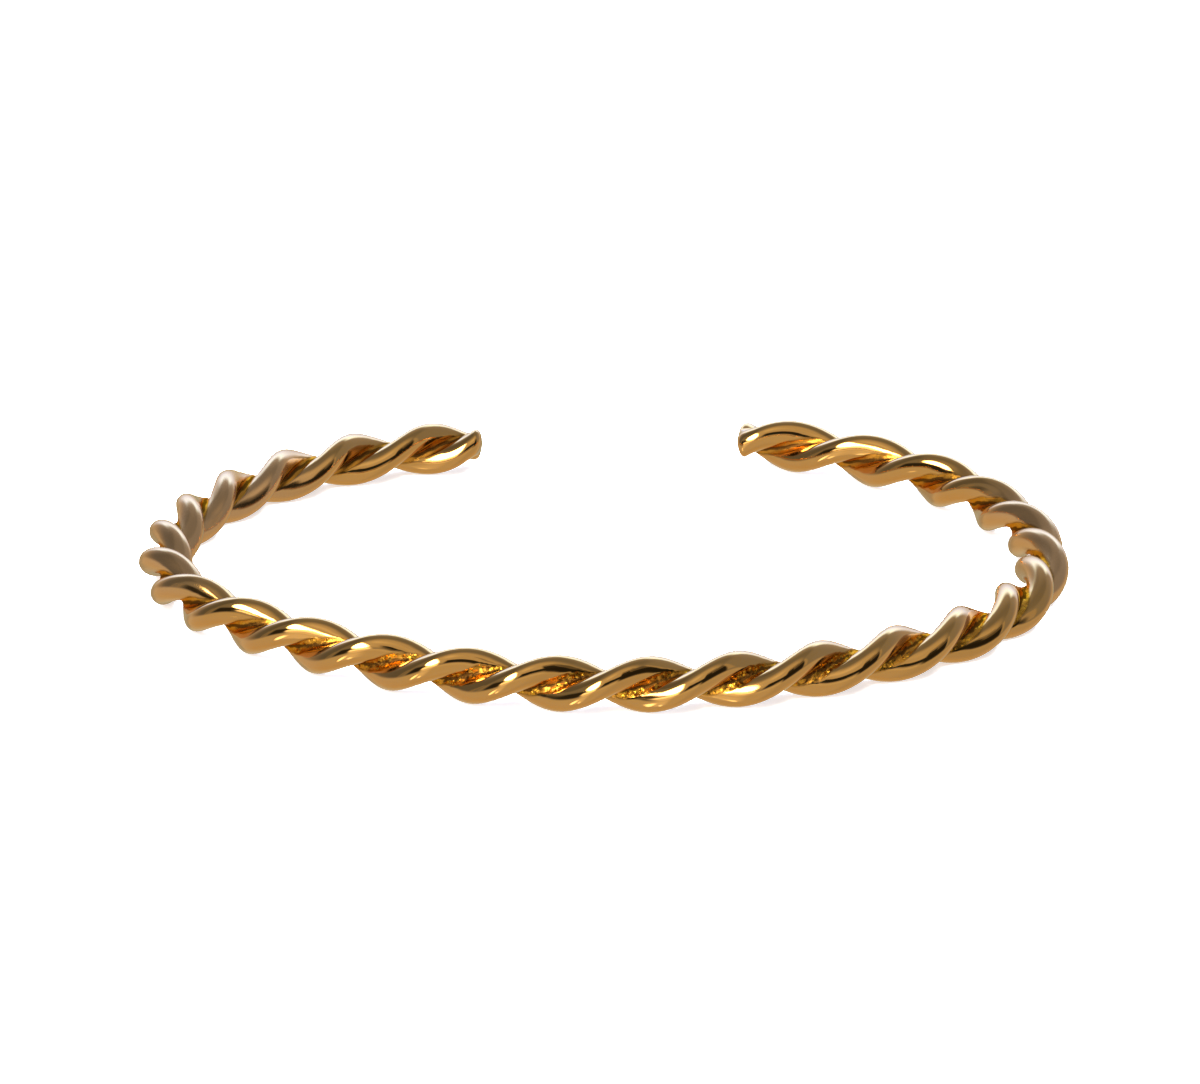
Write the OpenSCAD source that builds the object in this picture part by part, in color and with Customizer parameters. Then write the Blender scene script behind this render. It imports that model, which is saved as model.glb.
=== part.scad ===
// Rope cuff bracelet: an open oval band of two round strands twisted together.
// The strands are fused along their grooves and close in rounded ends, so the
// whole band is one piece of metal, springy enough to slip over a wrist.
// It lies flat: +Z is the wrist axis, and the gap between the ends faces +Y.
// The origin is the centre of the footprint, on the surface the band rests on.

/* [Band] */
// Outside width of the oval, side to side
outer_w = 66; // [58:1:76]
// Depth of the rounding on each end of the band
end_round = 0.8; // [0.3:0.1:1.2]

/* [Rope] */
// Diameter of each strand
strand_d = 1.96; // [1.9:0.02:2.2]
// Distance between the centres of the two strands
strand_centres = 1.88; // [1.6:0.02:1.9]
// Radius of the hollow fillet of metal that fills each groove
groove_fillet = 0.6; // [0.3:0.1:1]
// Mean length of one full turn of the twist
turn_len = 12.3; // [11:0.1:15]
// Angle of the first strand at the left end, measured from the band's outer side
first_angle = 142; // [0:1:179]

/* [Fineness] */
// Distance between the cross-sections along the band
ring_step = 0.8; // [0.8:0.1:1.4]
// Steps round each strand in a cross-section
lobe_steps = 8; // [6:1:8]
// Rings in the rounding of each end
end_rings = 4; // [2:1:5]

/* [Hidden] */

// Centre line of the band as tangent arcs, from the left end round the front
// to the right end: each row is one arc, and its radius holds at ARCS_W
RADIUS = 0;
SWEEP = 1;
ARCS_W = 66;
ARCS = [
    [25.6, 78.9],
    [18.7, 45.4],
    [45.6, 26.1],
    [27.6, 27.7],
    [35.4, 35.9],
    [22.7, 59.2],
    [28.7, 63.6]
];
// Direction of travel at the left end, from +X towards +Y
START_HEADING = -172.1;

// Tightness of the twist against its mean, at places given as a share of the length
TWIST = [
    [0.0, 0.96],
    [0.2, 1.06],
    [0.4, 1.00],
    [0.6, 1.02],
    [0.8, 0.99],
    [1.0, 0.89]
];

// Steps across the hollow fillet of a groove in a cross-section
GROOVE_STEPS = 4;

// Towards each tip the rope twists tighter and rises a little
TIP_REACH = 4;
TIP_TWIST = 15;
TIP_RISE = 0.09;
// Closer to it the grooves fill up with metal, until the tip has none
FILL_REACH = 2;
// The right tip is cut at a slant, so that its top reaches past its bottom
SLANT_REACH = 1.5;
RIGHT_SLANT = 0.23;

strand_r = strand_d / 2;
strand_offset = strand_centres / 2;

// Arc lengths at the chosen width, and where each arc starts along the band
ring_scale = outer_w / ARCS_W;
arc_count = len(ARCS);
arc_lens = [for (arc = ARCS) arc[RADIUS] * ring_scale * arc[SWEEP] * PI / 180];
arc_starts = [for (i = 0, s = 0; i <= arc_count; s = s + (i < arc_count ? arc_lens[i] : 0), i = i + 1) s];
band_len = arc_starts[arc_count];

// A place on the centre line is [x, y, heading]; this one is run mm on from start
function along_arc(start, radius, run) =
    let (heading = start[2] + run / radius * 180 / PI)
    [
        start[0] + radius * (sin(heading) - sin(start[2])),
        start[1] - radius * (cos(heading) - cos(start[2])),
        heading
    ];

// Places where the arcs begin
function arc_begins(i = 0, place = [0, 0, START_HEADING]) =
    i == arc_count
        ? []
        : concat([place], arc_begins(i + 1, along_arc(place, ARCS[i][RADIUS] * ring_scale, arc_lens[i])));
arc_places = arc_begins();

// Arc that holds the point s mm from the left end
function arc_at(s, i = 0) = i >= arc_count - 1 || s < arc_starts[i + 1] ? i : arc_at(s, i + 1);

function centre_line(s) =
    let (i = arc_at(s))
    along_arc(arc_places[i], ARCS[i][RADIUS] * ring_scale, s - arc_starts[i]);

// Twist from the left end to s, in degrees: the tightness summed over the table's stretches
function stretch_turn(i, share) =
    let (from = TWIST[i][0], to = min(share, TWIST[i + 1][0]))
    to <= from ? 0 : (to - from) * (TWIST[i][1] + lookup(to, TWIST)) / 2;
function twist_sum(share, i = 0) =
    i == len(TWIST) - 1 ? 0 : stretch_turn(i, share) + twist_sum(share, i + 1);
function strand_angle(s) = first_angle + 360 * band_len / turn_len * twist_sum(s / band_len);

// Cross-section of the rope: two round strands, joined by a hollow fillet in each groove
fillet_y = sqrt(pow(strand_r + groove_fillet, 2) - pow(strand_offset, 2));
contact_angle = atan2(fillet_y, -strand_offset);
fillet_half = 90 - atan2(fillet_y, strand_offset);
lobe = [
    for (i = [0:lobe_steps])
        let (angle = contact_angle * (2 * i / lobe_steps - 1))
        [strand_offset + strand_r * cos(angle), strand_r * sin(angle)]
];
groove = [
    for (i = [1:GROOVE_STEPS - 1])
        let (angle = fillet_half * (1 - 2 * i / GROOVE_STEPS))
        [groove_fillet * sin(angle), fillet_y - groove_fillet * cos(angle)]
];
half_section = concat(lobe, groove);
section = concat(half_section, [for (p = half_section) -p]);
section_count = len(section);

// Share that grows from 0 at the given distance from the nearer tip to 1 at the tip
function tip_share(s, reach) = max(0, 1 - min(s, band_len - s) / reach);
function tip_rise(s) = TIP_RISE * pow(tip_share(s, TIP_REACH), 2);
function tip_turn(s) = (s < band_len / 2 ? -1 : 1) * TIP_TWIST * pow(tip_share(s, TIP_REACH), 2);
function tip_slant(s) = s < band_len / 2 ? 0 : RIGHT_SLANT * tip_share(s, SLANT_REACH);

// A point of the cross-section, moved out to the strands' common tangent where a groove is filled
function filled(p, share) =
    abs(p[0]) < strand_offset ? [p[0], p[1] + share * (sign(p[1]) * strand_r - p[1])] : p;

// A cross-section of the given size, set across the centre line at s
function ring(s, size) =
    let (
        place = centre_line(s),
        ahead_x = cos(place[2]),
        ahead_y = sin(place[2]),
        turn = strand_angle(s) + tip_turn(s),
        fill = tip_share(s, FILL_REACH),
        slant = tip_slant(s),
        rise = tip_rise(s)
    )
    [
        for (p = section)
            let (
                q = filled(p, fill),
                out = size * (q[0] * cos(turn) - q[1] * sin(turn)),
                up = size * (q[0] * sin(turn) + q[1] * cos(turn)),
                ahead = slant * up
            )
            [
                place[0] + out * ahead_y + ahead * ahead_x,
                place[1] - out * ahead_x + ahead * ahead_y,
                up + rise
            ]
    ];

// Rings from tip to tip: [distance from the left end, size], small within the rounded ends
body_rings = ceil((band_len - 2 * end_round) / ring_step);
end_stations = [for (i = [1:end_rings]) let (angle = 90 * i / (end_rings + 1)) [1 - cos(angle), sin(angle)]];
stations = concat(
    [for (e = end_stations) [end_round * e[0], e[1]]],
    [for (i = [0:body_rings]) [end_round + (band_len - 2 * end_round) * i / body_rings, 1]],
    [for (i = [end_rings - 1:-1:0]) [band_len - end_round * end_stations[i][0], end_stations[i][1]]]
);
ring_count = len(stations);
ring_points = [for (station = stations) each ring(station[0], station[1])];

function tip(s) = let (place = centre_line(s)) [place[0], place[1], tip_rise(s)];
rope_points = concat(ring_points, [tip(0), tip(band_len)]);
left_tip = len(ring_points);
right_tip = left_tip + 1;
last_ring = (ring_count - 1) * section_count;

side_faces = [
    for (i = [0:ring_count - 2])
        for (j = [0:section_count - 1])
            let (
                a = i * section_count + j,
                b = i * section_count + (j + 1) % section_count,
                c = b + section_count,
                d = a + section_count
            )
            each [[a, b, c], [a, c, d]]
];
left_faces = [for (j = [0:section_count - 1]) [left_tip, (j + 1) % section_count, j]];
right_faces = [
    for (j = [0:section_count - 1]) [right_tip, last_ring + j, last_ring + (j + 1) % section_count]
];

// The finished rope's own box gives the shift that puts the origin under its middle
low = [for (axis = [0:2]) min([for (p = rope_points) p[axis]])];
high = [for (axis = [0:2]) max([for (p = rope_points) p[axis]])];
to_origin = [-(low[0] + high[0]) / 2, -(low[1] + high[1]) / 2, -low[2]];

module rope_band() {
    color("#bf9450")
        translate(to_origin)
            polyhedron(points = rope_points, faces = concat(left_faces, side_faces, right_faces));
}

rope_band();
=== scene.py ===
"""Looks of the rope cuff bracelet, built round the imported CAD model.

The band is one closed mesh, swept the way the CAD model sweeps it but much finer: two polished
strands twisted together, with crinkled metal in the bottom of the grooves and a rounded end on
each side of the gap. Lengths are in metres, in the CAD frame: +Z is the wrist axis, the gap
between the ends faces +Y, and the band lies on the floor at Z = 0.
"""
import math

import bpy
import numpy as np
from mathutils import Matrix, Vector, noise


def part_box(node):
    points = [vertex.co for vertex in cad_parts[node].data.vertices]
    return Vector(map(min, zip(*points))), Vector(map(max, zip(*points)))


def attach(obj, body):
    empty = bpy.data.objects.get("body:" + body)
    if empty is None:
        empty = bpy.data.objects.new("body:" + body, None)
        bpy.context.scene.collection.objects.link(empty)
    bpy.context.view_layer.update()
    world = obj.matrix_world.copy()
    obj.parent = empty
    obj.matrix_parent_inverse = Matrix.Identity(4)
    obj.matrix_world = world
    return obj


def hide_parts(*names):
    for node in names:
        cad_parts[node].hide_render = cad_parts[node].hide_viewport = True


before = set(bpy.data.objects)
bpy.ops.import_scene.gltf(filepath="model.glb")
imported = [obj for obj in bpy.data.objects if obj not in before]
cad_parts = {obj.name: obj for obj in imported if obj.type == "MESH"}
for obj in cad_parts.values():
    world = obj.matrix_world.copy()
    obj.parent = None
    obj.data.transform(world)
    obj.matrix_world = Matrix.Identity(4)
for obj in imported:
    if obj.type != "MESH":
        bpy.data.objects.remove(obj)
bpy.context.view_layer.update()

MM = 0.001

# Rope, as in the CAD model
STRAND_R = 0.98 * MM
STRAND_OFFSET = 0.94 * MM  # from the rope's centre line to a strand's
FILLET_R = 0.45 * MM  # 0.6 in the CAD model, whose grooves are 0.04 mm shallower
TURN_LEN = 12.3 * MM
FIRST_ANGLE = math.radians(142)
END_ROUND = 0.8 * MM

# Towards each tip the rope twists tighter, rises, and its grooves fill up
TIP_REACH = 4.0 * MM
TIP_TWIST = math.radians(15)
TIP_RISE = 0.09 * MM
FILL_REACH = 2.0 * MM
SLANT_REACH = 1.5 * MM
RIGHT_SLANT = 0.23  # the right tip's top reaches past its bottom

# At the two sides of the band the grooves are a little fuller: at shares of the length
FULLER_AT = [0.05, 0.10, 0.20, 0.26, 0.72, 0.78, 0.86, 0.92]
FULLER = [0.0, 0.2, 0.2, 0.0, 0.0, 0.35, 0.35, 0.0]

# Centre line as tangent arcs, from the left end round the front: radius and sweep
ARCS = [
    (25.6 * MM, math.radians(78.9)),
    (18.7 * MM, math.radians(45.4)),
    (45.6 * MM, math.radians(26.1)),
    (27.6 * MM, math.radians(27.7)),
    (35.4 * MM, math.radians(35.9)),
    (22.7 * MM, math.radians(59.2)),
    (28.7 * MM, math.radians(63.6)),
]
START_HEADING = math.radians(-172.1)

# Tightness of the twist against its mean, at shares of the length
TWIST_AT = np.array([0.0, 0.2, 0.4, 0.6, 0.8, 1.0])
TIGHTNESS = np.array([0.96, 1.06, 1.00, 1.02, 0.99, 0.89])
TWIST_STEPS = 2000  # in which it is summed up

# Fineness of the mesh
RING_STEP = 0.095 * MM
END_RINGS = 7
LOBE_STEPS = 15
GROOVE_STEPS = 14
GROOVE_ZONE = 0.70 * MM  # half width of the finely divided zone over each groove
FAR_ACROSS = 1.0  # stands for every place outside these zones

# Unpolished metal in the grooves: at shares of the length, half its width and how crinkled it is
ROUGH_AT = [0.0, 0.20, 0.28, 0.36, 0.44, 0.60, 0.68, 0.78, 1.0]
ROUGH_HALF_WIDTH = np.array([0.42, 0.34, 0.38, 0.46, 0.50, 0.50, 0.52, 0.52, 0.44]) * MM
ROUGH_SHARE = [0.0, 0.05, 0.15, 0.45, 1.0, 1.0, 0.55, 0.25, 0.15]
ROUGH_EDGE = 0.07 * MM
ROUGH_FADE = (0.9 * MM, 1.8 * MM)  # distances from a tip where it begins, and where it is in full
SHADED_BORDER_WIDTH = 0.16 * MM  # of the border round the raw metal, bare of lacquer and painted darker as shade
ROUGH_NARROW = 0.35  # share that the strip loses where it faces up or down
ROUGH_DEPTH = 0.04 * MM
ROUGH_WANDER = 1.1 * MM
ROUGH_WANDER_SHARE = 0.40
CREVICE_WANDER = 0.9 * MM  # the line where the strands meet, sunk deeper and painted dark as shade, wavers in the groove's bottom
CREVICE_SWAY = 0.12 * MM
CREVICE_EDGES = (0.04 * MM, 0.17 * MM)
CREVICE_DROP = 0.6
UV_PER_METRE = 100.0

# Crinkles, whose scales are against their size and whose height goes from 0 to 1
CRINKLE_HEIGHT = 0.10 * MM
CRINKLE_SIZE = 0.24 * MM
CRINKLE_STRETCH = 2.2  # their length along the groove against their width
CRINKLE_WARP = 0.6  # how far the crests are pushed about
CRINKLE_WARP_SCALE = 0.7
CREST_SHARPNESS = 1.6
CREST_SHARE = 0.65  # the rest of the height is ridges
RIDGE_SCALE = 1.9
RIDGE_SHARPNESS = 2.2
MID_HEIGHT = 0.5

# Places in the noise: one for each groove, and one for each thing that wavers along it
GROOVE_SEEDS = (7.0, 31.0)
WANDER_PLACE = 3.0
SWAY_PLACE = 9.0
# Places in the noise from which the three parts of a warp are taken. Blender's own vector noise
# isn't used, because it gives other values from run to run.
WARP_PLACES = (Vector((0.0, 0.0, 0.0)), Vector((17.3, 5.1, 0.0)), Vector((0.0, 11.7, 23.9)))

# Gold: base colours, roughness and bump
GOLD_DEEP = (0.735, 0.345, 0.050, 1)
GOLD_BRIGHT = (0.755, 0.368, 0.062, 1)
WORN_GOLD = (0.77, 0.42, 0.155, 1)
# painted shade in the fillets round the raw metal, and its share
FILLET_SHADE_GOLD = (0.42, 0.18, 0.024, 1)
FILLET_SHADE_SHARE = 0.75
RAW_GOLD = (0.92, 0.44, 0.034, 1)
RAW_BROWN = (0.70, 0.30, 0.036, 1)
# colour of the painted shade in the raw metal's creases
RAW_SHADE = (0.15, 0.062, 0.011, 1)
RAW_EDGE_TINT = (1.0, 0.62, 0.38, 1)  # keeps the raw metal brown where it is seen at a slant
NO_TINT = (1, 1, 1, 1)
COAT_IOR = 1.55
COAT_ROUGHNESS = 0.02
COAT_WEAR = 0.5  # share of the coat that is gone where the polish is worn
POLISHED_ROUGHNESS = 0.045
WORN_ROUGHNESS = 0.20
SMEAR_ROUGHNESS = 0.02
RAW_ROUGHNESS = 0.34
SPARKLE_ROUGHNESS = 0.06
# roughness where the raw metal's creases are painted dark as shade
CREASE_SHADE_ROUGHNESS = 0.5
DRAW_BUMP = 0.05
PEEL_BUMP = 0.10
SCRATCH_BUMP = 0.08
RAW_BUMP = 0.5
PLEAT_BUMP = 0.25
FINE_DEPTH = 0.01 * MM  # of the bumps on the strands
RAW_DEPTH = 0.05 * MM  # of the bumps in the grooves
FACET_SIZE = 0.15 * MM
FACET_TILT = 0.8
FACET_MIDDLE = (0.5, 0.5, 0.5)

# Patterns of the gold by place: scales per metre, and noise values between which one comes in
TONE_SCALE = 900.0
SPARKLE_SCALE = 1500.0
SPARKLE_EDGES = (0.42, 0.58)
BREAK_SCALE = 900.0
BREAK_EDGES = (0.35, 0.6)
PEEL_SCALE = 1300.0
GRAIN_SCALE = 11000.0
GRIT_SCALE = 12000.0
SCRATCH_STRETCH = (500.0, 500.0, 9000.0)

# Patterns along and round the strands, in centimetres
SMEAR_SCALE = 6.0
SMEAR_STRETCH = (1.0, 9.0, 1.0)
SMEAR_EDGES = (0.35, 0.75)
DRAW_SCALE = 5.0
DRAW_STRETCH = (1.0, 60.0, 1.0)
PLEAT_STRETCH = (80.0, 7.0, 1.0)

# Where painted shade darkens the raw metal: height of the crests, distance in the facets, and at
# the raw metal's border its share times the polish's share, which is a quarter in the middle of the
# border
CREASE_EDGES = (0.48, 0.15)
PIT_EDGES = (0.45, 0.8)
BORDER_EDGES = (0.075, 0.225)

# Places where the polish is worn dull: centre, and distances where it is dullest and where it ends
WORN_PLACES = [
    ((-30 * MM, 5 * MM, 2 * MM), 11 * MM, 19 * MM),
    ((32 * MM, 2 * MM, 2 * MM), 6 * MM, 13 * MM),
]

# Floor, and the light over it
FLOOR_HALF = 20.0
FLOOR_COLOUR = (0.9, 0.9, 0.9, 1)
FLOOR_GLOW = 0.6  # the table is lit from below too, so the shadow on it stays faint
OVERHEAD_SIZE = 2.0
OVERHEAD_HEIGHT = 1.5
OVERHEAD_POWER = 260.0

# Studio round the band, seen from it: name, shape, middle azimuth and elevation, half width and
# height, tilt and softness of the edge in degrees, brightness and tint. Azimuth 0 is the camera's
# side and 90 is the right. A cap is a round patch of true angles, for high or low ones. A later
# patch covers the earlier ones. The table behind the band is warm with the gold that it mirrors.
STUDIO_DIM = 0.25
STUDIO_TINTS = {
    "white": (1.0, 1.0, 1.0),
    "cool": (1.0, 1.55, 2.7),
    "pale cool": (0.95, 1.07, 1.35),
    "warm": (1.0, 0.86, 0.53),
}
STUDIO = [
    ("back of the room", "cap", 180, 42, 62, 62, 0, 50, 0.23, "pale cool"),
    ("upper front", "cap", 8, 45, 38, 38, 0, 24, 0.60, "white"),
    ("upper front core", "cap", -12, 55, 9, 9, 0, 20, 0.84, "white"),
    ("left wall", "box", -118, 28, 36, 34, 0, 10, 0.15, "pale cool"),
    ("right wall", "box", 108, 24, 34, 26, 0, 14, 0.31, "pale cool"),
    ("right door frame", "box", 75, 22, 3.5, 20, 0, 3, 0.45, "white"),
    ("right doorway", "box", 50, 13, 21.5, 17.5, 0, 4, 0.022, "white"),
    ("right doorway, upper right", "box", 58, 36, 13, 7, 0, 5, 0.14, "white"),
    ("right doorway, upper left", "box", 36, 35, 9, 8, 0, 5, 0.035, "white"),
    ("doorway's top", "box", 42, 47, 15, 4, 0, 5, 0.30, "white"),
    ("front gap", "box", 2, 18.5, 9, 10.5, 0, 5, 0.025, "white"),
    ("front gap, right", "box", 20, 19, 14, 9, 0, 5, 0.025, "white"),
    ("left strip", "box", -75, 10, 3, 14, 0, 4, 0.30, "white"),
    ("far left strip", "box", -84.5, 8, 2, 14, 0, 3, 0.30, "white"),
    ("left doorway", "box", -55, 11, 14, 14, 0, 9, 0.03, "white"),
    ("backdrop glow", "round", 178, 24, 50, 38, 0, 36, 0.40, "pale cool"),
    ("backdrop", "box", 178, 14.5, 34, 27, -4, 15, 1.60, "cool"),
    ("table", "box", 0, -52, 400, 45, 0, 14, 0.62, "white"),
    ("table, right", "box", 84, -46, 60, 36, 0, 30, 0.53, "white"),
    ("table behind, far", "cap", 180, -40, 62, 62, 0, 50, 0.64, "warm"),
    ("table behind", "box", 180, -22, 42, 16, 0, 12, 0.45, "warm"),
    ("light on the table's edge", "box", 2, -4, 28, 7, 0, 10, 0.70, "white"),
    ("softbox stand", "round", -26, 3, 11.5, 17, 0, 8, 1.05, "white"),
    ("softbox stand core", "box", -27, 8, 13, 5, 0, 4, 2.2, "white"),
    ("softbox on the table", "box", -28, -34, 10, 18, 0, 12, 0.92, "white"),
    ("softbox core on the table", "round", -40, -37, 4, 12, -23, 4, 3.2, "white"),
    ("small core on the table", "round", -26, -49, 3, 6, 0, 4, 2.2, "white"),
    ("softbox glow", "round", -30, 38, 14, 24, 45, 8, 0.66, "white"),
    ("softbox", "round", -37, 34.5, 10.5, 23, 45, 5, 16.0, "white"),
]

# It is worked out by sectors between these azimuths and elevations, which saves render time
SECTOR_AZIMUTHS = [-180, -90, 0, 90, 180]
SECTOR_ELEVATIONS = [-90, -20, 6, 90]

# Camera, from the photograph's outline of the band
CAMERA_ELEVATION = math.radians(19.22)
CAMERA_DISTANCE = 450 * MM
CAMERA_LENS = 188.5
CAMERA_CLIP = (0.01, 100.0)
CAMERA_AIM = Vector((-0.2, 3.1, 1.9)) * MM


def band_places(s):
    """X, Y and heading of the centre line at the distances s from the left end."""
    edges = [0.0]
    starts = [(0.0, 0.0, START_HEADING)]
    for radius, sweep in ARCS:
        x, y, heading = starts[-1]
        after = heading + sweep
        edges.append(edges[-1] + radius * sweep)
        starts.append((
            x + radius * (math.sin(after) - math.sin(heading)),
            y - radius * (math.cos(after) - math.cos(heading)),
            after,
        ))
    arc = np.clip(np.searchsorted(edges, s, side="right") - 1, 0, len(ARCS) - 1)
    x, y, heading = np.array(starts)[arc].T
    radius = np.array(ARCS)[arc, 0]
    now = heading + (s - np.array(edges)[arc]) / radius
    x = x + radius * (np.sin(now) - np.sin(heading))
    y = y - radius * (np.cos(now) - np.cos(heading))
    return x, y, now


def strand_angles(s, band_len):
    """Turn of the first strand about the centre line at s, from the band's outer side."""
    share = np.linspace(0.0, 1.0, TWIST_STEPS + 1)
    tight = np.interp(share, TWIST_AT, TIGHTNESS)
    summed = np.concatenate([[0.0], np.cumsum((tight[1:] + tight[:-1]) / 2 * np.diff(share))])
    turns = band_len / TURN_LEN * np.interp(s / band_len, share, summed)
    return FIRST_ANGLE + 2 * math.pi * turns


def half_section():
    """Points of a strand and the groove after it, their normals, and places across the groove."""
    fillet_y = math.sqrt((STRAND_R + FILLET_R) ** 2 - STRAND_OFFSET ** 2)
    contact = math.atan2(fillet_y, -STRAND_OFFSET)
    zone = math.acos((GROOVE_ZONE - STRAND_OFFSET) / STRAND_R)
    fillet_half = math.pi / 2 - math.atan2(fillet_y, STRAND_OFFSET)

    lobe_run = STRAND_R * (contact - zone)
    fillet_run = FILLET_R * fillet_half
    points, normals, across = [], [], []
    for i in range(LOBE_STEPS):
        angle = zone * (2 * i / LOBE_STEPS - 1)
        points.append((STRAND_OFFSET + STRAND_R * math.cos(angle), STRAND_R * math.sin(angle)))
        normals.append((math.cos(angle), math.sin(angle)))
        across.append(FAR_ACROSS)
    half_run = lobe_run + fillet_run
    for i in range(GROOVE_STEPS):
        run = half_run * (1 - 2 * i / GROOVE_STEPS)  # along the surface from the groove's middle
        if abs(run) > fillet_run:
            angle = contact - (abs(run) - fillet_run) / STRAND_R
            x = STRAND_OFFSET + STRAND_R * math.cos(angle)
            normal = (math.cos(angle), math.sin(angle))
            y = STRAND_R * math.sin(angle)
        else:
            angle = abs(run) / FILLET_R
            x = FILLET_R * math.sin(angle)
            y = fillet_y - FILLET_R * math.cos(angle)
            normal = (-math.sin(angle), math.cos(angle))
        side = math.copysign(1.0, run)
        points.append((side * x, y))
        normals.append((side * normal[0], normal[1]))
        across.append(run)
    return np.array(points), np.array(normals), np.array(across)


def smooth_step(value, low, high):
    """Smooth change from 0 to 1, as the value goes from low to high."""
    t = np.clip((value - low) / (high - low), 0.0, 1.0)
    return t * t * (3 - 2 * t)


def crinkle(s, run, seed):
    """Height of the crinkled metal, from 0 in its creases to 1 on its crests."""
    place = Vector((s / CRINKLE_STRETCH, run, 0.0)) / CRINKLE_SIZE + Vector((0.0, 0.0, seed))
    coarse = place * CRINKLE_WARP_SCALE
    warp = Vector([noise.noise(coarse + start) for start in WARP_PLACES]) * CRINKLE_WARP
    near = noise.voronoi(place + warp)[0]
    crest = 1.0 - min(near[0] * near[0] * CREST_SHARPNESS, 1.0)
    ridge = 1.0 - RIDGE_SHARPNESS * abs(noise.noise(place * RIDGE_SCALE))
    return min(max(CREST_SHARE * crest + (1.0 - CREST_SHARE) * ridge, 0.0), 1.0)


def tip_share(s, band_len, reach):
    """Share that grows from 0 at the given distance from the nearer tip to 1 at the tip."""
    return np.clip(1.0 - np.minimum(s, band_len - s) / reach, 0.0, 1.0)


def ring_stations(band_len):
    """Distances of the rings from the left end, and the size of each, small in the rounded ends."""
    angles = np.pi / 2 * np.arange(1, END_RINGS + 1) / (END_RINGS + 1)
    cap = END_ROUND * (1 - np.cos(angles))
    body_len = band_len - 2 * END_ROUND
    body = np.linspace(END_ROUND, band_len - END_ROUND, round(body_len / RING_STEP) + 1)
    s = np.concatenate([cap, body, band_len - cap[::-1]])
    size = np.concatenate([np.sin(angles), np.ones(len(body)), np.sin(angles[::-1])])
    return s, size


def sweep(section, s, size, band_len):
    """Sets one cross-section per ring across the centre line; section is rings x points x 2."""
    x, y, heading = (values[:, None] for values in band_places(s))
    near = tip_share(s, band_len, TIP_REACH) ** 2
    left = s < band_len / 2
    turn = (strand_angles(s, band_len) + np.where(left, -TIP_TWIST, TIP_TWIST) * near)[:, None]
    slant = np.where(left, 0.0, RIGHT_SLANT) * tip_share(s, band_len, SLANT_REACH)
    out = size[:, None] * (section[..., 0] * np.cos(turn) - section[..., 1] * np.sin(turn))
    up = size[:, None] * (section[..., 0] * np.sin(turn) + section[..., 1] * np.cos(turn))
    ahead = slant[:, None] * up
    return np.stack([
        x + out * np.sin(heading) + ahead * np.cos(heading),
        y - out * np.cos(heading) + ahead * np.sin(heading),
        up + TIP_RISE * near[:, None],
    ], -1)


def unpolished_metal(s, across, band_len):
    """Masks of the unpolished and crinkled metal and of the bare band round it painted darker as
    shade, its height, and how far it is sunk.
    """
    mask = np.zeros((len(s), len(across)))
    bare_and_shaded = np.zeros(mask.shape)
    height = np.ones(mask.shape)
    fade = smooth_step(np.minimum(s, band_len - s), *ROUGH_FADE)
    facing = 1 - ROUGH_NARROW * (1 - np.abs(np.sin(strand_angles(s, band_len))))
    half_width = np.interp(s / band_len, ROUGH_AT, ROUGH_HALF_WIDTH) * facing
    crinkled = np.interp(s / band_len, ROUGH_AT, ROUGH_SHARE)
    for column in np.flatnonzero(across < FAR_ACROSS):
        run = across[column]
        seed = GROOVE_SEEDS[0] if column < len(across) // 2 else GROOVE_SEEDS[1]
        for ring in np.flatnonzero(fade > 0.0):
            along = Vector((s[ring] / ROUGH_WANDER, seed, math.copysign(WANDER_PLACE, run)))
            width = half_width[ring] * (1.0 + ROUGH_WANDER_SHARE * noise.noise(along))
            inside = float(smooth_step(width - abs(run), -ROUGH_EDGE / 2, ROUGH_EDGE / 2))
            share = fade[ring] * inside
            # a band round the raw metal is bare of lacquer and painted darker as shade
            beyond = smooth_step(abs(run) - width, 0.0, SHADED_BORDER_WIDTH)
            bare_and_shaded[ring, column] = fade[ring] * (1.0 - beyond)
            if share == 0.0:
                continue
            mask[ring, column] = share
            # along the groove's bottom the crevice is sunk deeper, and its lowered crest height is
            # painted dark as shade
            sway = CREVICE_SWAY * noise.noise(Vector((s[ring] / CREVICE_WANDER, seed, SWAY_PLACE)))
            crevice = 1.0 - float(smooth_step(abs(run - sway), *CREVICE_EDGES))
            fold = MID_HEIGHT + crinkled[ring] * (crinkle(s[ring], run, seed) - MID_HEIGHT)
            height[ring, column] = max(fold - CREVICE_DROP * crevice, 0.0)
    sink = mask * (ROUGH_DEPTH - CRINKLE_HEIGHT * (height - MID_HEIGHT))
    return mask, mask * crinkled[:, None], bare_and_shaded, height, sink


def fit_in_cad_box(vertices):
    """Stands the rope on the floor under the CAD box's middle, and keeps it inside that box."""
    low, high = (np.array(corner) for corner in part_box("rope_band"))
    own_low, own_high = vertices.min(0), vertices.max(0)
    fit = min(1.0, ((high - low) / (own_high - own_low)).min())
    foot = np.array([(own_low[0] + own_high[0]) / 2, (own_low[1] + own_high[1]) / 2, own_low[2]])
    target = np.array([(low[0] + high[0]) / 2, (low[1] + high[1]) / 2, low[2]])
    return (vertices - foot) * fit + target


def rope_faces(rings, around):
    """Quads between the rings, and a fan of triangles on each tip, all facing outwards."""
    a = np.arange(rings - 1)[:, None] * around + np.arange(around)[None]
    b = np.arange(rings - 1)[:, None] * around + (np.arange(around)[None] + 1) % around
    quads = np.stack([a, a + around, b + around, b], -1).reshape(-1, 4).tolist()
    left_tip = rings * around
    right_tip = left_tip + 1
    last = (rings - 1) * around
    fans = [[left_tip, j, (j + 1) % around] for j in range(around)]
    fans += [[right_tip, last + (j + 1) % around, last + j] for j in range(around)]
    return quads + fans


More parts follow.
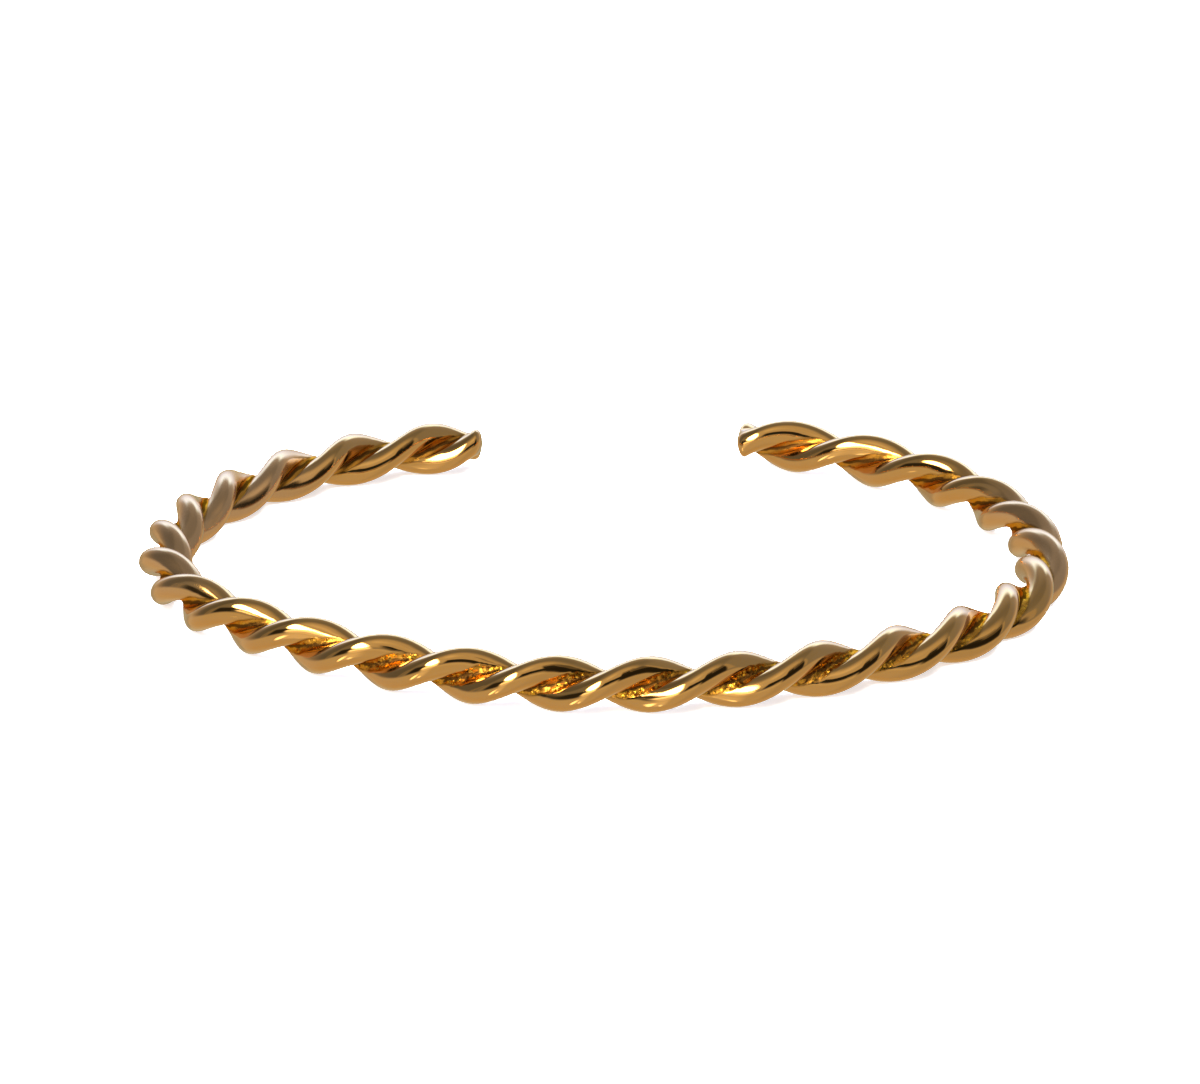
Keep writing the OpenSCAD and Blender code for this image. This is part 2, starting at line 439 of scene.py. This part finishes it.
def rope_mesh():
    """Vertices, faces, point attributes, and places along and round the strands."""
    band_len = sum(radius * sweep_angle for radius, sweep_angle in ARCS)
    s, size = ring_stations(band_len)
    points, normals, across = half_section()
    section = np.concatenate([points, -points])
    section_normals = np.concatenate([normals, -normals])

    fuller = np.interp(s / band_len, FULLER_AT, FULLER)
    fill = np.maximum(tip_share(s, band_len, FILL_REACH), fuller)[:, None]
    sections = np.repeat(section[None], len(s), 0)
    in_groove = (np.abs(section[:, 0]) < STRAND_OFFSET)[None]
    tangent_y = np.sign(section[:, 1])[None] * STRAND_R
    sections[..., 1] += np.where(in_groove, fill * (tangent_y - sections[..., 1]), 0.0)

    across = np.concatenate([across, across])
    mask, crinkled, bare_and_shaded, height, sink = unpolished_metal(s, across, band_len)
    vertices = sweep(sections - sink[..., None] * section_normals[None], s, size, band_len)
    tip_x, tip_y, _ = band_places(np.array([0.0, band_len]))
    tips = [[tip_x[i], tip_y[i], TIP_RISE] for i in range(2)]
    vertices = fit_in_cad_box(np.concatenate([vertices.reshape(-1, 3), tips]))

    faces = rope_faces(len(s), len(section))
    at_tips = {
        "unpolished": (mask, 0.0),
        "crinkled": (crinkled, 0.0),
        "bare_and_shaded": (bare_and_shaded, 0.0),
        "crest": (height, 1.0),
    }
    attributes = {name: np.append(values, [tip, tip]) for name, (values, tip) in at_tips.items()}
    gaps = np.linalg.norm(np.diff(section, axis=0, append=section[:1]), axis=1)
    round_strand = np.concatenate([[0.0], np.cumsum(gaps)])
    return vertices, faces, attributes, s, round_strand


def lay_strand_map(mesh, s, round_strand):
    """UV map in centimetres: U runs along the strands and V runs round them."""
    rings, around = len(s), len(round_strand) - 1
    i = np.repeat(np.arange(rings - 1), around)
    j = np.tile(np.arange(around), rings - 1)
    u = np.stack([s[i], s[i + 1], s[i + 1], s[i]], -1)
    v = np.stack([round_strand[j], round_strand[j], round_strand[j + 1], round_strand[j + 1]], -1)
    j = np.arange(around)
    middle = (round_strand[j] + round_strand[j + 1]) / 2
    left_u = np.tile([s[0] - END_ROUND / 2, s[0], s[0]], (around, 1))
    left_v = np.stack([middle, round_strand[j], round_strand[j + 1]], -1)
    right_u = np.tile([s[-1] + END_ROUND / 2, s[-1], s[-1]], (around, 1))
    right_v = np.stack([middle, round_strand[j + 1], round_strand[j]], -1)
    all_u = np.concatenate([u.reshape(-1), left_u.reshape(-1), right_u.reshape(-1)])
    all_v = np.concatenate([v.reshape(-1), left_v.reshape(-1), right_v.reshape(-1)])
    layer = mesh.uv_layers.new(name="strands")
    layer.data.foreach_set("uv", np.stack([all_u, all_v], -1).reshape(-1) * UV_PER_METRE)


def make_rope(material):
    """The whole band as one object."""
    vertices, faces, attributes, s, round_strand = rope_mesh()
    mesh = bpy.data.meshes.new("twisted_rope")
    mesh.from_pydata(vertices.tolist(), [], faces)
    for name, values in attributes.items():
        mesh.attributes.new(name, "FLOAT", "POINT").data.foreach_set("value", values)
    lay_strand_map(mesh, s, round_strand)
    mesh.shade_smooth()
    mesh.materials.append(material)
    rope = bpy.data.objects.new("twisted_rope", mesh)
    bpy.context.scene.collection.objects.link(rope)
    return rope


class Nodes:
    """Short calls for the nodes of one material or world."""

    def __init__(self, tree):
        self.tree = tree

    def add(self, kind, inputs=None, **settings):
        """A new node, with its inputs and settings filled in."""
        node = self.tree.nodes.new(kind)
        for name, value in settings.items():
            setattr(node, name, value)
        for name, value in (inputs or {}).items():
            self.put(node.inputs[name], value)
        return node

    def put(self, socket, value):
        """Links an output to the socket, or sets the socket to a plain value."""
        if isinstance(value, bpy.types.NodeSocket):
            self.tree.links.new(value, socket)
        else:
            socket.default_value = value

    def maths(self, operation, *values):
        node = self.add("ShaderNodeMath", operation=operation)
        for socket, value in zip(node.inputs, values):
            self.put(socket, value)
        return node.outputs[0]

    def weighted(self, operation, a, a_share, b, b_share):
        """Sum or difference of two values, each times its share."""
        first = self.maths("MULTIPLY", a, a_share)
        second = self.maths("MULTIPLY", b, b_share)
        return self.maths(operation, first, second)

    def ramp(self, value, low, high):
        """Smooth change from 0 to 1, as the value goes from low to high."""
        node = self.add("ShaderNodeMapRange", interpolation_type="SMOOTHSTEP", inputs={
            "Value": value, "From Min": low, "From Max": high, "To Min": 0.0, "To Max": 1.0,
        })
        return node.outputs["Result"]

    def mix(self, share, a, b):
        return self.add("ShaderNodeMix", inputs={"Factor": share, "A": a, "B": b}).outputs["Result"]

    def mix_colours(self, share, a, b):
        node = self.add("ShaderNodeMix", data_type="RGBA")
        colours = [socket for socket in node.inputs if socket.type == "RGBA"]
        self.put(node.inputs["Factor"], share)
        self.put(colours[0], a)
        self.put(colours[1], b)
        return [socket for socket in node.outputs if socket.type == "RGBA"][0]

    def attribute(self, name):
        return self.add("ShaderNodeAttribute", attribute_name=name).outputs["Fac"]

    def noise(self, place, scale, detail=2.0):
        return self.add("ShaderNodeTexNoise", inputs={
            "Vector": place, "Scale": scale, "Detail": detail,
        }).outputs["Fac"]

    def stretched(self, place, scale):
        node = self.add("ShaderNodeMapping", inputs={"Vector": place, "Scale": scale})
        return node.outputs["Vector"]

    def vector(self, operation, a, b):
        node = self.add("ShaderNodeVectorMath", operation=operation, inputs={0: a, 1: b})
        return node.outputs["Vector"]

    def bump(self, strength, depth, height, under=None):
        """Normals with bumps of this height, on top of the normals under them."""
        inputs = {"Strength": strength, "Distance": depth, "Height": height}
        if under is not None:
            inputs["Normal"] = under
        return self.add("ShaderNodeBump", inputs=inputs).outputs["Normal"]


def worn_share(nodes, place):
    """1 where long wear has dulled the polish, at the two sides of the band, and 0 elsewhere."""
    total = 0.0
    for centre, inner, outer in WORN_PLACES:
        away = nodes.add("ShaderNodeVectorMath", operation="DISTANCE", inputs={0: place, 1: centre})
        total = nodes.maths("ADD", nodes.ramp(away.outputs["Value"], outer, inner), total)
    return total


def crease_shade_share(nodes, place, raw, crest, sparkle, facet_distance):
    """Painted shade: 1 in the raw metal's creases, in pits between its facets, and in bits of its
    border.
    """
    creases = nodes.ramp(crest, *CREASE_EDGES)
    pits = nodes.maths("MULTIPLY", nodes.ramp(facet_distance, *PIT_EDGES), sparkle)
    border = nodes.maths("MULTIPLY", raw, nodes.maths("SUBTRACT", 1.0, raw))
    border = nodes.ramp(border, *BORDER_EDGES)
    breaks = nodes.ramp(nodes.noise(place, BREAK_SCALE), *BREAK_EDGES)
    border = nodes.maths("MULTIPLY", border, breaks)
    return nodes.maths("MAXIMUM", nodes.maths("MAXIMUM", creases, pits), border)


def gold_colour(nodes, place, worn, bare_and_shaded, raw, sparkle, crease_shade):
    """Base colour, from the polished strands to the raw grooves, with painted shade in their
    creases and fillets.
    """
    tone = nodes.noise(place, TONE_SCALE, detail=3.0)
    gold = nodes.mix_colours(tone, GOLD_DEEP, GOLD_BRIGHT)
    gold = nodes.mix_colours(worn, gold, WORN_GOLD)
    # darker as painted shade in the fillets round the raw grooves
    gold = nodes.mix_colours(nodes.maths("MULTIPLY", bare_and_shaded, FILLET_SHADE_SHARE), gold, FILLET_SHADE_GOLD)
    raw_gold = nodes.mix_colours(sparkle, RAW_BROWN, RAW_GOLD)
    # painted shade in the raw metal's creases, crevice, pits and bits of its border
    raw_gold = nodes.mix_colours(crease_shade, raw_gold, RAW_SHADE)
    return nodes.mix_colours(raw, gold, raw_gold)


def gold_roughness(nodes, strands, worn, raw, sparkle, crease_shade):
    """Roughness, from the smeared polish to the creases painted dark as shade."""
    smears = nodes.noise(nodes.stretched(strands, SMEAR_STRETCH), SMEAR_SCALE, detail=3.0)
    smears = nodes.maths("MULTIPLY", nodes.ramp(smears, *SMEAR_EDGES), SMEAR_ROUGHNESS)
    polished = nodes.mix(worn, POLISHED_ROUGHNESS, WORN_ROUGHNESS)
    polished = nodes.maths("ADD", polished, smears)
    rough = nodes.mix(sparkle, RAW_ROUGHNESS, SPARKLE_ROUGHNESS)
    rough = nodes.mix(crease_shade, rough, CREASE_SHADE_ROUGHNESS)
    return nodes.mix(raw, polished, rough)


def gold_normals(nodes, place, strands, worn, raw, sparkle, facet_colour):
    """Fine wear and drawing lines on the strands, pleats, grit and tilted facets in the grooves."""
    scratches = nodes.noise(nodes.stretched(place, SCRATCH_STRETCH), 1.0, detail=3.0)
    grain = nodes.maths("ADD", scratches, nodes.noise(place, GRAIN_SCALE, detail=1.0))
    drawn = nodes.noise(nodes.stretched(strands, DRAW_STRETCH), DRAW_SCALE)
    waves = nodes.noise(place, PEEL_SCALE, detail=1.0)
    pleats = nodes.noise(nodes.stretched(strands, PLEAT_STRETCH), 1.0)
    grit = nodes.noise(place, GRIT_SCALE)
    normals = nodes.bump(nodes.maths("MULTIPLY", worn, SCRATCH_BUMP), FINE_DEPTH, grain)
    normals = nodes.bump(DRAW_BUMP, FINE_DEPTH, drawn, normals)
    normals = nodes.bump(PEEL_BUMP, FINE_DEPTH, waves, normals)
    normals = nodes.bump(nodes.maths("MULTIPLY", raw, PLEAT_BUMP), RAW_DEPTH, pleats, normals)
    normals = nodes.bump(nodes.maths("MULTIPLY", sparkle, RAW_BUMP), RAW_DEPTH, grit, normals)
    tilt = nodes.add("ShaderNodeVectorMath", operation="SCALE", inputs={
        0: nodes.vector("SUBTRACT", facet_colour, FACET_MIDDLE),
        "Scale": nodes.maths("MULTIPLY", sparkle, FACET_TILT),
    })
    tilted = nodes.vector("ADD", normals, tilt.outputs["Vector"])
    level = nodes.add("ShaderNodeVectorMath", operation="NORMALIZE", inputs={0: tilted})
    return level.outputs["Vector"]


def gold_material():
    """Gold plate under a clear lacquer: polished strands, worn sides, and crinkled raw grooves."""
    material = bpy.data.materials.new("polished_gold")
    material.use_nodes = True
    nodes = Nodes(material.node_tree)
    shader = material.node_tree.nodes["Principled BSDF"]
    shader.inputs["Metallic"].default_value = 1.0
    shader.inputs["Coat Roughness"].default_value = COAT_ROUGHNESS
    shader.inputs["Coat IOR"].default_value = COAT_IOR

    coordinates = nodes.add("ShaderNodeTexCoord")
    place = coordinates.outputs["Object"]
    strands = coordinates.outputs["UV"]
    raw = nodes.attribute("unpolished")
    # bare metal round the raw grooves, painted darker as shade in its border
    bare_and_shaded = nodes.attribute("bare_and_shaded")
    worn = worn_share(nodes, place)
    glints = nodes.ramp(nodes.noise(place, SPARKLE_SCALE), *SPARKLE_EDGES)
    sparkle = nodes.maths("MULTIPLY", nodes.attribute("crinkled"), glints)
    facets = nodes.add("ShaderNodeTexVoronoi", inputs={"Vector": place, "Scale": 1 / FACET_SIZE})
    crest = nodes.attribute("crest")
    # where the raw metal is painted dark as shade: its creases, crevice, pits and bits of its
    # border
    crease_shade = crease_shade_share(nodes, place, raw, crest, sparkle, facets.outputs["Distance"])

    colour = gold_colour(nodes, place, worn, bare_and_shaded, raw, sparkle, crease_shade)
    edge_tint = nodes.mix_colours(bare_and_shaded, NO_TINT, RAW_EDGE_TINT)
    bare = nodes.maths("MAXIMUM", bare_and_shaded, nodes.maths("MULTIPLY", worn, COAT_WEAR))
    roughness = gold_roughness(nodes, strands, worn, raw, sparkle, crease_shade)
    normals = gold_normals(nodes, place, strands, worn, raw, sparkle, facets.outputs["Color"])
    nodes.put(shader.inputs["Base Color"], colour)
    nodes.put(shader.inputs["Specular Tint"], edge_tint)
    nodes.put(shader.inputs["Coat Weight"], nodes.maths("SUBTRACT", 1.0, bare))
    nodes.put(shader.inputs["Roughness"], roughness)
    nodes.put(shader.inputs["Normal"], normals)
    return material


def make_floor():
    """White matt table. The gold mirrors the studio's table patches instead of it."""
    corners = [
        (-FLOOR_HALF, -FLOOR_HALF, 0),
        (FLOOR_HALF, -FLOOR_HALF, 0),
        (FLOOR_HALF, FLOOR_HALF, 0),
        (-FLOOR_HALF, FLOOR_HALF, 0),
    ]
    mesh = bpy.data.meshes.new("floor")
    mesh.from_pydata(corners, [], [(0, 1, 2, 3)])
    material = bpy.data.materials.new("floor_white")
    material.use_nodes = True
    shader = material.node_tree.nodes["Principled BSDF"]
    shader.inputs["Base Color"].default_value = FLOOR_COLOUR
    shader.inputs["Roughness"].default_value = 1.0
    shader.inputs["Specular IOR Level"].default_value = 0.0
    shader.inputs["Emission Color"].default_value = (1, 1, 1, 1)
    shader.inputs["Emission Strength"].default_value = FLOOR_GLOW
    mesh.materials.append(material)
    floor = bpy.data.objects.new("floor", mesh)
    floor.visible_glossy = False
    bpy.context.scene.collection.objects.link(floor)


def make_overhead_light():
    """Wide soft light that whitens the floor; it isn't mirrored in the gold."""
    data = bpy.data.lights.new("overhead", "AREA")
    data.size = OVERHEAD_SIZE
    data.energy = OVERHEAD_POWER
    light = bpy.data.objects.new("overhead", data)
    light.location = (0, 0, OVERHEAD_HEIGHT)
    light.visible_glossy = False
    bpy.context.scene.collection.objects.link(light)


def make_camera():
    """A long lens at the photo's angle, level from side to side."""
    data = bpy.data.cameras.new("camera")
    data.lens = CAMERA_LENS
    data.clip_start, data.clip_end = CAMERA_CLIP
    camera = bpy.data.objects.new("camera", data)
    back = Vector((0, -math.cos(CAMERA_ELEVATION), math.sin(CAMERA_ELEVATION)))
    camera.location = CAMERA_AIM + CAMERA_DISTANCE * back
    camera.rotation_euler = (math.pi / 2 - CAMERA_ELEVATION, 0, 0)
    bpy.context.scene.collection.objects.link(camera)
    bpy.context.scene.camera = camera


def patch_share(nodes, azimuth, elevation, direction, patch):
    """1 inside a patch of the studio and 0 outside it, with a soft edge."""
    _, shape, middle, height, half_wide, half_high, tilt, soft = patch[:8]
    if shape == "cap":
        side, rise = math.radians(middle), math.radians(height)
        level = math.cos(rise)
        centre = (level * math.sin(side), -level * math.cos(side), math.sin(rise))
        close = nodes.add("ShaderNodeVectorMath", operation="DOT_PRODUCT", inputs={
            0: direction, 1: centre,
        })
        away = nodes.maths("DEGREES", nodes.maths("ARCCOSINE", close.outputs["Value"]))
        return nodes.ramp(away, half_wide + soft / 2, half_wide - soft / 2)
    aside = nodes.maths("WRAP", nodes.maths("SUBTRACT", azimuth, middle), 180.0, -180.0)
    above = nodes.maths("SUBTRACT", elevation, height)
    if tilt:
        lean, stand = math.sin(math.radians(tilt)), math.cos(math.radians(tilt))
        aside, above = (
            nodes.weighted("ADD", aside, stand, above, lean),
            nodes.weighted("SUBTRACT", above, stand, aside, lean),
        )
    if shape == "round":
        wide = nodes.maths("DIVIDE", aside, half_wide)
        high = nodes.maths("DIVIDE", above, half_high)
        reach = nodes.maths("SQRT", nodes.weighted("ADD", wide, wide, high, high))
        edge = soft / 2 / min(half_wide, half_high)
        return nodes.ramp(reach, 1 + edge, 1 - edge)
    aside, above = nodes.maths("ABSOLUTE", aside), nodes.maths("ABSOLUTE", above)
    wide = nodes.ramp(aside, half_wide + soft / 2, half_wide - soft / 2)
    high = nodes.ramp(above, half_high + soft / 2, half_high - soft / 2)
    return nodes.maths("MULTIPLY", wide, high)


def patch_colour(brightness, tint):
    """A named tint of light at a given brightness."""
    return (*(brightness * part for part in STUDIO_TINTS[tint]), 1.0)


def touches(patch, left, right, low, high):
    """Whether a patch may reach into a sector of the studio, judged a little too widely."""
    _, shape, azimuth, elevation, half_wide, half_high, tilt, soft = patch[:8]
    edge = 1 + soft / 2 / min(half_wide, half_high)
    lean, stand = abs(math.sin(math.radians(tilt))), abs(math.cos(math.radians(tilt)))
    wide = 180.0 if shape == "cap" else edge * (half_wide * stand + half_high * lean)
    tall = edge * (half_high * stand + half_wide * lean)
    aside = abs((azimuth - (left + right) / 2 + 180) % 360 - 180)
    above = abs(elevation - (low + high) / 2)
    return aside <= wide + (right - left) / 2 and above <= tall + (high - low) / 2


def sector_light(nodes, azimuth, elevation, direction, *sector):
    """Background of one sector of the studio: the patches that touch it, one over the other."""
    light = patch_colour(STUDIO_DIM, "pale cool")
    for patch in STUDIO:
        if touches(patch, *sector):
            share = patch_share(nodes, azimuth, elevation, direction, patch)
            light = nodes.mix_colours(share, light, patch_colour(*patch[8:]))
    return nodes.add("ShaderNodeBackground", inputs={"Color": light}).outputs["Background"]


def pick_shader(nodes, value, edges, shaders):
    """The shader of the stretch between two edges that the value lies in."""
    picked = shaders[0]
    for edge, shader in zip(edges, shaders[1:]):
        above = nodes.maths("GREATER_THAN", value, edge)
        either = nodes.add("ShaderNodeMixShader", inputs={0: above, 1: picked, 2: shader})
        picked = either.outputs["Shader"]
    return picked


def add_world():
    """The studio by sectors, each with only the patches near it, and white behind the floor."""
    world = bpy.data.worlds.new("studio")
    bpy.context.scene.world = world
    world.use_nodes = True
    nodes = Nodes(world.node_tree)
    direction = nodes.add("ShaderNodeTexCoord").outputs["Generated"]
    parts = nodes.add("ShaderNodeSeparateXYZ", inputs={"Vector": direction})
    to_camera = nodes.maths("MULTIPLY", parts.outputs["Y"], -1.0)
    azimuth = nodes.maths("DEGREES", nodes.maths("ARCTAN2", parts.outputs["X"], to_camera))
    elevation = nodes.maths("DEGREES", nodes.maths("ARCSINE", parts.outputs["Z"]))
    rows = []
    for low, high in zip(SECTOR_ELEVATIONS, SECTOR_ELEVATIONS[1:]):
        row = [
            sector_light(nodes, azimuth, elevation, direction, left, right, low, high)
            for left, right in zip(SECTOR_AZIMUTHS, SECTOR_AZIMUTHS[1:])
        ]
        rows.append(pick_shader(nodes, azimuth, SECTOR_AZIMUTHS[1:-1], row))
    studio = pick_shader(nodes, elevation, SECTOR_ELEVATIONS[1:-1], rows)
    plain = nodes.add("ShaderNodeBackground", inputs={"Color": patch_colour(1.0, "white")})
    seen = nodes.add("ShaderNodeLightPath").outputs["Is Camera Ray"]
    either = nodes.add("ShaderNodeMixShader", inputs={
        0: seen, 1: studio, 2: plain.outputs["Background"],
    })
    nodes.put(world.node_tree.nodes["World Output"].inputs["Surface"], either.outputs["Shader"])


make_camera()
add_world()
make_floor()
make_overhead_light()
rope = make_rope(gold_material())
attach(rope, "root")
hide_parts("rope_band")
bpy.context.scene.view_settings.view_transform = "Standard"
